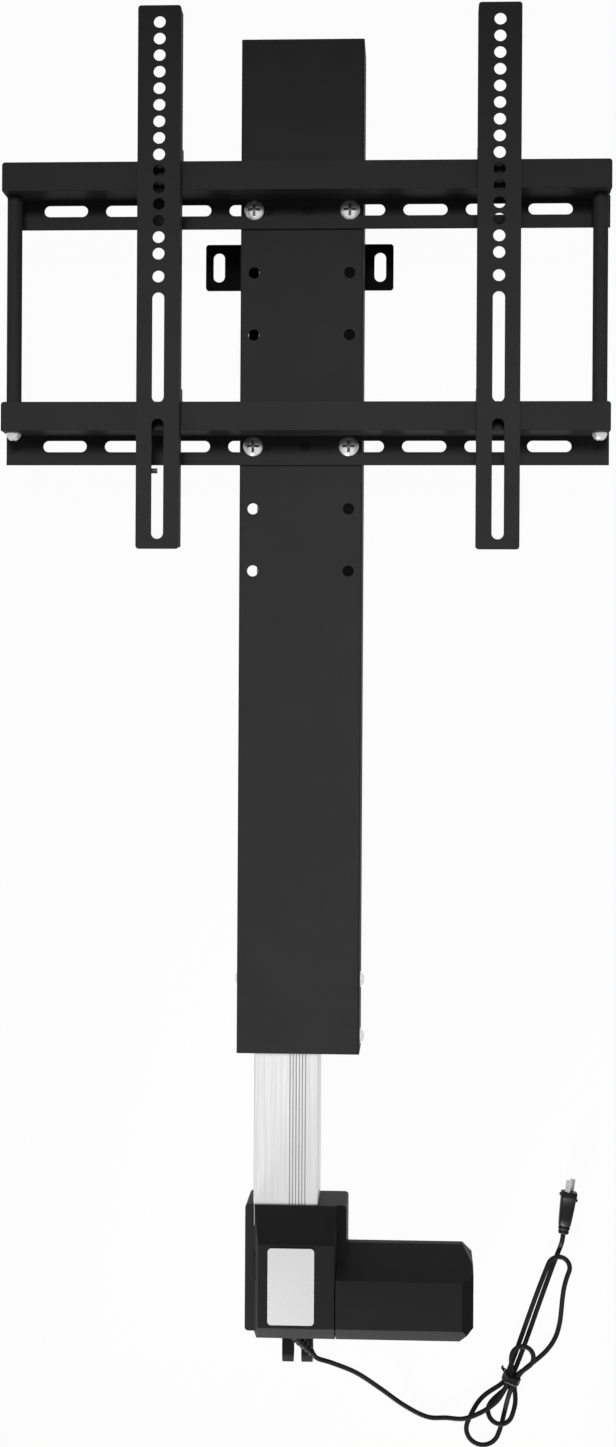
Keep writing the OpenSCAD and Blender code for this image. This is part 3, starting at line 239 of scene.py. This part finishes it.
# Strain relief: a collar on the gearbox and a tapered, ribbed boot.
# A rib's form is its place in its share of the boot, and its radius as a share of the taper's.
COLLAR = [(0.0, 5.4), (0.5, 5.5), (2.4, 5.5), (2.9, 5.0), (3.0, 4.4)]
COLLAR_SIDES = 32
RIBS = 5
RIB_FORM = [(0.04, 0.82), (0.12, 1.0), (0.6, 1.0), (0.68, 0.82), (0.96, 0.82)]
ROOT_R, TIP_R, MOUTH_R = 4.1, 2.75, 2.3
BOOT_SIDES = 28
bm = bmesh.new()
collar_at = Vector((RELIEF_START.x, CASE_BOTTOM_Y, RELIEF_START.z))
revolve(bm, collar_at, Vector((0, -1, 0)), COLLAR, COLLAR_SIDES)
boot = []
for i in range(RIBS):
    for share, scale in RIB_FORM:
        at = (i + share) / RIBS
        boot.append((at * RELIEF_LEN, (ROOT_R + (TIP_R - ROOT_R) * at) * scale))
boot[-1] = (RELIEF_LEN, MOUTH_R)
revolve(bm, RELIEF_START, RELIEF_DIR, boot, BOOT_SIDES)
relief = mesh_object("strain_relief_boot", bm, "base")
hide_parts("strain_relief")

# Plug: a grip that widens to its face, with a ridged heel and a small lug on each side.
# The grip's form is height, half width, half depth and how square the section is.
PLUG_FORM = [(0.0, 3.4, 3.2, 2.4), (0.4, 4.2, 3.9, 2.6), (2.4, 4.5, 4.1, 2.6), (2.8, 4.1, 3.7, 2.6),
             (3.6, 4.1, 3.7, 2.6), (4.0, 4.7, 4.3, 2.6), (5.6, 4.9, 4.4, 2.8), (6.0, 4.5, 4.0, 2.8),
             (6.8, 4.5, 4.0, 2.8), (7.2, 5.1, 4.6, 3.0), (14.0, 5.6, 5.1, 3.4), (22.0, 6.1, 5.6, 3.8),
             (29.6, 6.4, 6.0, 4.0), (30.2, 6.7, 6.6, 4.0), (34.2, 6.8, 6.7, 4.0), (35.0, 6.3, 6.2, 4.0)]
PLUG_SIDES = 32
PLUG_ACROSS = Vector((PLUG_DIR.y, -PLUG_DIR.x, 0.0))
LUG = [(0.0, 1.3), (1.5, 1.3), (1.9, 0.8)]
LUG_SIDES = 16
LUG_OUT = 5.9
LEFT_LUG_AT, RIGHT_LUG_AT = 32.4, 28.6


def rounded_ring(height, half_x, half_z, power):
    ring = []
    for k in range(PLUG_SIDES):
        a = 2 * math.pi * k / PLUG_SIDES
        c, s = math.cos(a), math.sin(a)
        x = half_x * math.copysign(abs(c) ** (2 / power), c)
        z = half_z * math.copysign(abs(s) ** (2 / power), s)
        ring.append((PLUG_BASE + height * PLUG_DIR + x * PLUG_ACROSS + Vector((0, 0, z))) * MM)
    return ring


bm = bmesh.new()
bridge(bm, [rounded_ring(*row) for row in PLUG_FORM])
for side, height in ((-1, LEFT_LUG_AT), (1, RIGHT_LUG_AT)):
    start = PLUG_BASE + height * PLUG_DIR + side * LUG_OUT * PLUG_ACROSS
    revolve(bm, start, side * PLUG_ACROSS, LUG, LUG_SIDES)
plug = mesh_object("plug_grip", bm, "base")
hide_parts("plug_body")

# Tie: a flat band round the strands, with rounded rims and its two ends twisted together on top
TIE_T = 0.7
TIE_HALF_W = TIE_W / 2
UNDER_GAP, OVER_GAP, SIDE_GAP = 0.1, 0.2, 0.3
RIM_W, RIM_DROP = 0.5, 0.25
BAND_RIMS = [(-TIE_HALF_W, RIM_DROP), (-TIE_HALF_W + RIM_W, 0.0), (TIE_HALF_W - RIM_W, 0.0),
             (TIE_HALF_W, RIM_DROP)]
tie_low = HANK_Z - CORD_D / 2 - UNDER_GAP
tie_mid = HANK_Z + CORD_D / 2 + OVER_GAP
tie_high = HANK_Z + LAYER_STEP + CORD_D / 2 + OVER_GAP
side_v = STRAND_PITCH + CORD_D / 2 + SIDE_GAP
shoulder = STRAND_PITCH / 2 + CORD_D / 2
inner = [(-side_v, tie_low), (side_v, tie_low), (side_v, tie_mid), (shoulder, tie_high),
         (-shoulder, tie_high), (-side_v, tie_mid)]


def at_height(u, v, z):
    return lay(u, v, (z - HANK_Z) / LAYER_STEP)


def grow(points, by):
    centre_z = (tie_low + tie_high) / 2
    return [(v + math.copysign(by, v), z + math.copysign(by, z - centre_z)) for v, z in points]


def band_ring(bm, u, points):
    return [bm.verts.new(at_height(u, v, z) * MM) for v, z in points]


bm = bmesh.new()
count = len(inner)
rows = [(band_ring(bm, u, grow(inner, drop)), band_ring(bm, u, grow(inner, TIE_T - drop)))
        for u, drop in BAND_RIMS]
for (near_a, far_a), (near_b, far_b) in zip(rows, rows[1:]):
    for k in range(count):
        n = (k + 1) % count
        bm.faces.new((near_a[k], near_b[k], near_b[n], near_a[n]))
        bm.faces.new((far_a[k], far_a[n], far_b[n], far_b[k]))
for near, far in (rows[0], rows[-1]):
    for k in range(count):
        n = (k + 1) % count
        bm.faces.new((near[k], near[n], far[n], far[k]))

# The tie's ends: where they leave the band, how far they run, and how they twist, part and sag
END_R = 0.75
END_SIDES = 10
END_STEPS = 12
END_START = (1.0, -3.0)
END_RUN = (7.0, -8.0)
END_TWIST = 2.5 * math.pi
END_CLOSE, END_PART, END_FLAT = 0.9, 2.4, 0.4
END_LIFT, END_SAG, END_SWAY = 0.9, 2.2, 0.6
for side in (-1, 1):
    ends = []
    for i in range(END_STEPS + 1):
        t = i / END_STEPS
        twist = side * math.pi / 2 + END_TWIST * t
        spread = END_CLOSE * (1 - t) + END_PART * t * t
        u = END_START[0] + END_RUN[0] * t + spread * math.cos(twist) * END_FLAT
        v = END_START[1] + END_RUN[1] * t + spread * math.sin(twist)
        z = tie_high + TIE_T + END_R * END_LIFT - END_SAG * t * t + END_SWAY * math.cos(twist)
        ends.append(at_height(u, v, z))
    turns = headings(ends, (ends[1] - ends[0]).normalized(), (ends[-1] - ends[-2]).normalized())
    bridge(bm, [[p * MM for p in ring_round(c, d, END_R, END_SIDES)] for c, d in zip(ends, turns)])
tie = mesh_object("cord_tie_band", bm, "base", smooth=False)
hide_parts("cord_tie")

# Materials: lengths in metres, and noise scales in turns per metre
MIX_A, MIX_B, MIX_RESULT = 6, 7, 2
LOW_NOISE, HIGH_NOISE = 0.3, 0.7
EDGE_FULL, EDGE_NONE = 0.75, 0.985
BEVEL_SAMPLES = 6
RECESS_SAMPLES = 8
RECESS_NONE = 0.95
COAT_CLOUD, PLAIN_CLOUD = 18.0, 25.0
CLOUD_DETAIL, FINE_DETAIL, METAL_DETAIL = 3.0, 2.0, 5.0
SOFT_NOISE, METAL_NOISE = 0.55, 0.6
# Scale of the noise patches that break up the painted edge highlight
HIGHLIGHT_PATCH_SCALE = 160.0
COAT_GRAIN, PLAIN_GRAIN = 0.06, 0.05
METAL_SMOOTHER, METAL_ROUGHER = 0.05, 0.08
COAT_BUMP, FINE_BUMP = 0.5, 0.4


def new_material(name):
    m = bpy.data.materials.new(name)
    m.use_nodes = True
    nodes = m.node_tree.nodes
    return m, nodes, m.node_tree.links, nodes["Principled BSDF"]


def add(nodes, kind, **values):
    node = nodes.new(kind)
    for key, value in values.items():
        setattr(node, key, value)
    return node


def noise(nodes, links, scale, detail, roughness=SOFT_NOISE, stretch=(1, 1, 1)):
    coords = add(nodes, "ShaderNodeTexCoord")
    mapping = add(nodes, "ShaderNodeMapping")
    mapping.inputs["Scale"].default_value = stretch
    texture = add(nodes, "ShaderNodeTexNoise")
    texture.inputs["Scale"].default_value = scale
    texture.inputs["Detail"].default_value = detail
    texture.inputs["Roughness"].default_value = roughness
    links.new(coords.outputs["Object"], mapping.inputs["Vector"])
    links.new(mapping.outputs["Vector"], texture.inputs["Vector"])
    return texture.outputs["Fac"]


def tones(nodes, links, fac, dark, pale):
    node = add(nodes, "ShaderNodeValToRGB")
    stops = ((LOW_NOISE, dark), (HIGH_NOISE, pale))
    for element, (at, colour) in zip(node.color_ramp.elements, stops):
        element.position = at
        element.color = (*colour, 1.0)
    links.new(fac, node.inputs["Fac"])
    return node.outputs["Color"]


def span_of(nodes, links, fac, low, high, start=LOW_NOISE, end=HIGH_NOISE):
    node = add(nodes, "ShaderNodeMapRange")
    node.inputs["From Min"].default_value = start
    node.inputs["From Max"].default_value = end
    node.inputs["To Min"].default_value = low
    node.inputs["To Max"].default_value = high
    links.new(fac, node.inputs["Value"])
    return node.outputs["Result"]


def grey(value):
    return (value, value, value)


def edge_lines(nodes, links, radius):
    """A smoothed normal, and a mask that is 1 along the solid's edges."""
    bevel = add(nodes, "ShaderNodeBevel", samples=BEVEL_SAMPLES)
    bevel.inputs["Radius"].default_value = radius
    geometry = add(nodes, "ShaderNodeNewGeometry")
    dot = add(nodes, "ShaderNodeVectorMath", operation="DOT_PRODUCT")
    links.new(bevel.outputs["Normal"], dot.inputs[0])
    links.new(geometry.outputs["Normal"], dot.inputs[1])
    mask = span_of(nodes, links, dot.outputs["Value"], 1.0, 0.0, EDGE_FULL, EDGE_NONE)
    return bevel.outputs["Normal"], mask


def recess_mask(nodes, links, reach, full):
    """1 in grooves and inner corners that see no more sky than full, 0 on open faces: where painted shade
    goes.
    """
    shade = add(nodes, "ShaderNodeAmbientOcclusion", samples=RECESS_SAMPLES, only_local=True)
    shade.inputs["Distance"].default_value = reach
    return span_of(nodes, links, shade.outputs["AO"], 1.0, 0.0, full, RECESS_NONE)


def bump(nodes, links, height, strength, distance, normal=None):
    node = add(nodes, "ShaderNodeBump")
    node.inputs["Strength"].default_value = strength
    node.inputs["Distance"].default_value = distance
    links.new(height, node.inputs["Height"])
    if normal is not None:
        links.new(normal, node.inputs["Normal"])
    return node.outputs["Normal"]


def mix_colour(nodes, links, fac, a, b):
    node = add(nodes, "ShaderNodeMix", data_type="RGBA")
    links.new(fac, node.inputs["Factor"])
    links.new(a, node.inputs[MIX_A])
    node.inputs[MIX_B].default_value = (*b, 1.0)
    return node.outputs[MIX_RESULT]


def coated(name, dark, pale, edge_highlight_grey, edge_highlight_strength, rough, grain, specular=0.5, depth=0.00006, radius=0.0007):
    """Black paint or moulded plastic: grainy, slightly uneven, with a painted highlight along its edges,
    broken into patches.
    """
    m, nodes, links, bsdf = new_material(name)
    normal, edge = edge_lines(nodes, links, radius)
    cloud = noise(nodes, links, COAT_CLOUD, CLOUD_DETAIL)
    colour = tones(nodes, links, cloud, grey(dark), grey(pale))
    highlight_patches = noise(nodes, links, HIGHLIGHT_PATCH_SCALE, FINE_DETAIL)
    patchy_highlight = add(nodes, "ShaderNodeMath", operation="MULTIPLY", use_clamp=True)
    links.new(edge, patchy_highlight.inputs[0])
    links.new(span_of(nodes, links, highlight_patches, edge_highlight_strength / 2, edge_highlight_strength), patchy_highlight.inputs[1])
    # Painted highlight: the colour turns a paler grey along the solid's edges, in patches
    edge_highlighted = mix_colour(nodes, links, patchy_highlight.outputs["Value"], colour, grey(edge_highlight_grey))
    links.new(edge_highlighted, bsdf.inputs["Base Color"])
    fine = noise(nodes, links, grain, FINE_DETAIL)
    links.new(span_of(nodes, links, fine, rough - COAT_GRAIN, rough + COAT_GRAIN), bsdf.inputs["Roughness"])
    links.new(bump(nodes, links, fine, COAT_BUMP, depth, normal), bsdf.inputs["Normal"])
    bsdf.inputs["Specular IOR Level"].default_value = specular
    return m


def metal(name, dark, pale, rough, scale, stretch=(1, 1, 1), depth=0.00002, radius=0.0004, recess_shade=0.12,
          reach=0.002, full=0.35, metallic=1.0):
    """Bare metal with a grain that runs along the short side of its stretch, and painted shade in its
    grooves.
    """
    m, nodes, links, bsdf = new_material(name)
    normal, _ = edge_lines(nodes, links, radius)
    lines = noise(nodes, links, scale, METAL_DETAIL, METAL_NOISE, stretch)
    colour = tones(nodes, links, lines, dark, pale)
    # Painted shade: the colour darkens where the mask finds grooves and inner corners
    recess = recess_mask(nodes, links, reach, full)
    recess_shaded = mix_colour(nodes, links, recess, colour, [recess_shade * c for c in pale])
    links.new(recess_shaded, bsdf.inputs["Base Color"])
    roughness = span_of(nodes, links, lines, rough - METAL_SMOOTHER, rough + METAL_ROUGHER)
    links.new(roughness, bsdf.inputs["Roughness"])
    links.new(bump(nodes, links, lines, FINE_BUMP, depth, normal), bsdf.inputs["Normal"])
    bsdf.inputs["Metallic"].default_value = metallic
    return m


def plain(name, dark, pale, rough, grain, depth=0.00003, specular=0.5):
    """Nylon, label stock, board or rubber: a slight cloud of tone and a fine grain."""
    m, nodes, links, bsdf = new_material(name)
    cloud = noise(nodes, links, PLAIN_CLOUD, CLOUD_DETAIL)
    links.new(tones(nodes, links, cloud, dark, pale), bsdf.inputs["Base Color"])
    fine = noise(nodes, links, grain, FINE_DETAIL)
    links.new(span_of(nodes, links, fine, rough - PLAIN_GRAIN, rough + PLAIN_GRAIN), bsdf.inputs["Roughness"])
    links.new(bump(nodes, links, fine, FINE_BUMP, depth), bsdf.inputs["Normal"])
    bsdf.inputs["Specular IOR Level"].default_value = specular
    return m


# In the coated finishes the edge grey and its strength set a painted highlight along the edges; in the metals
# the groove darkening is painted shade
FINISHES = {
    "black_paint": coated("powder_coat", dark=0.039, pale=0.043, edge_highlight_grey=0.07, edge_highlight_strength=0.4, rough=0.5, grain=1500.0,
                          specular=0.015),
    "dark_paint": coated("dark_powder_coat", dark=0.010, pale=0.012, edge_highlight_grey=0.05, edge_highlight_strength=0.4, rough=0.5,
                         grain=1500.0, specular=0.015),
    # Painted shade: a near-black copy of the black paint, for parts that lie in shade
    "shaded_paint": coated("painted_shade_coat", dark=0.004, pale=0.006, edge_highlight_grey=0.04, edge_highlight_strength=0.3, rough=0.6,
                           grain=1500.0, specular=0.015),
    "black_plastic": coated("moulded_plastic", dark=0.024, pale=0.028, edge_highlight_grey=0.1, edge_highlight_strength=0.5, rough=0.45,
                            grain=2200.0, specular=0.02, depth=0.00004, radius=0.0009),
    "black_screw": coated("black_oxide", dark=0.010, pale=0.016, edge_highlight_grey=0.10, edge_highlight_strength=0.6, rough=0.4,
                          grain=1200.0),
    "bright_steel": metal("bright_steel", grey(0.62), grey(0.78), rough=0.16, scale=300.0),
    "zinc_plate": metal("zinc_plate", grey(0.84), grey(0.92), rough=0.3, scale=300.0, recess_shade=0.02, reach=0.004,
                        full=0.72, metallic=0.6),
    "plain_steel": metal("plain_steel", grey(0.42), grey(0.56), rough=0.3, scale=120.0, stretch=(1, 0.05, 1)),
    "column_aluminium": metal("brushed_aluminium", grey(0.61), grey(0.69), rough=0.34, scale=900.0,
                              stretch=(1, 0.012, 1), depth=0.00001, radius=0.0003, recess_shade=0.25, reach=0.0012),
    "cast_aluminium": metal("cast_aluminium", grey(0.36), grey(0.46), rough=0.5, scale=400.0, depth=0.0001),
    "gear_brass": metal("gear_brass", (0.44, 0.29, 0.08), (0.56, 0.39, 0.13), rough=0.25, scale=200.0),
    "pale_nylon": plain("pale_nylon", (0.58, 0.55, 0.48), (0.66, 0.63, 0.56), rough=0.42, grain=900.0),
    "white_plate": plain("white_plate", grey(0.86), grey(0.9), rough=0.3, grain=600.0, depth=0.00001),
    "board_green": plain("board_green", (0.02, 0.10, 0.035), (0.03, 0.14, 0.05), rough=0.35, grain=500.0),
    "cord_black": plain("cord_rubber", grey(0.004), grey(0.007), rough=0.45, grain=1400.0, depth=0.00004,
                        specular=0.12),
}

# Nodes that look unlike the others of their slot; the wall bracket and the sleeve stiffener take a near-black
# copy of the paint as painted shade
OWN_FINISH = {"base_clevis": "dark_paint", "wall_bracket": "shaded_paint", "sleeve_stiffener": "shaded_paint",
              "plug_blades": "plain_steel", "rail_screws": "zinc_plate", "side_tube_screws": "zinc_plate"}
for part in frame["record"]["subparts"]:
    node = frame["nodes"][part["node"]]
    node.data.materials.clear()
    node.data.materials.append(FINISHES[OWN_FINISH.get(part["node"], part["material_slot"])])
for piece in (cord, relief, plug, tie):
    piece.data.materials.append(FINISHES["cord_black"])

# Floor, world and lamps: rays that show the background see white, and other rays see the studio
FLOOR_HALF = 4.0
FLOOR_MID_Y = -0.35
FLOOR_Z = -0.0004
FLOOR_CORNERS = [(-1, -1), (1, -1), (1, 1), (-1, 1)]
FLOOR_GREY = 0.6
FLOOR_ROUGH = 0.9
SHADOW_SHARE = 0.035
SKY_ON_OBJECT = 0.14
WHITE = 1.0


def background_ray(nodes, links):
    """1 for rays that show the background: from the camera, from gloss and through clear things."""
    path = add(nodes, "ShaderNodeLightPath")
    first = add(nodes, "ShaderNodeMath", operation="MAXIMUM")
    links.new(path.outputs["Is Camera Ray"], first.inputs[0])
    links.new(path.outputs["Is Glossy Ray"], first.inputs[1])
    second = add(nodes, "ShaderNodeMath", operation="MAXIMUM")
    links.new(first.outputs["Value"], second.inputs[0])
    links.new(path.outputs["Is Transmission Ray"], second.inputs[1])
    return second.outputs["Value"]


def soft_lamp(name, at, aim, size, power, spread):
    """A gridded soft box: its light fans out no wider than its spread."""
    data = bpy.data.lights.new(name, "AREA")
    data.shape = "RECTANGLE"
    data.size, data.size_y = size
    data.energy = power
    data.spread = math.radians(spread)
    lamp = bpy.data.objects.new(name, data)
    lamp.location = at
    lamp.rotation_euler = (Vector(aim) - Vector(at)).to_track_quat("-Z", "Y").to_euler()
    bpy.context.scene.collection.objects.link(lamp)


bm = bmesh.new()
bm.faces.new([bm.verts.new((x * FLOOR_HALF, y * FLOOR_HALF + FLOOR_MID_Y, FLOOR_Z))
              for x, y in FLOOR_CORNERS])
floor_mesh = bpy.data.meshes.new("floor")
bm.to_mesh(floor_mesh)
bm.free()
floor = bpy.data.objects.new("floor", floor_mesh)
bpy.context.scene.collection.objects.link(floor)
m, nodes, links, bsdf = new_material("pale_floor")
bsdf.inputs["Base Color"].default_value = (*grey(FLOOR_GREY), 1.0)
bsdf.inputs["Roughness"].default_value = FLOOR_ROUGH
bsdf.inputs["Specular IOR Level"].default_value = 0.0
glow = add(nodes, "ShaderNodeEmission")
glow.inputs["Strength"].default_value = WHITE
share = add(nodes, "ShaderNodeMath", operation="MULTIPLY")
share.inputs[1].default_value = 1.0 - SHADOW_SHARE
links.new(background_ray(nodes, links), share.inputs[0])
mixed = add(nodes, "ShaderNodeMixShader")
links.new(share.outputs["Value"], mixed.inputs["Fac"])
links.new(bsdf.outputs["BSDF"], mixed.inputs[1])
links.new(glow.outputs["Emission"], mixed.inputs[2])
links.new(mixed.outputs["Shader"], nodes["Material Output"].inputs["Surface"])
floor_mesh.materials.append(m)

world = bpy.data.worlds.new("studio")
world.use_nodes = True
bpy.context.scene.world = world
nodes, links = world.node_tree.nodes, world.node_tree.links
strength = add(nodes, "ShaderNodeMapRange")
strength.inputs["To Min"].default_value = SKY_ON_OBJECT
strength.inputs["To Max"].default_value = WHITE
links.new(background_ray(nodes, links), strength.inputs["Value"])
nodes["Background"].inputs["Color"].default_value = (*grey(WHITE), 1.0)
links.new(strength.outputs["Result"], nodes["Background"].inputs["Strength"])

soft_lamp("high_lamp", at=(0.0, 0.45, 2.12), aim=(0.0, -0.33, 0.06), size=(0.9, 0.8), power=1.4, spread=22.0)
soft_lamp("low_lamp", at=(-0.1, -1.38, 0.185), aim=(0.06, -0.86, 0.035), size=(0.5, 0.12), power=0.75,
          spread=26.0)
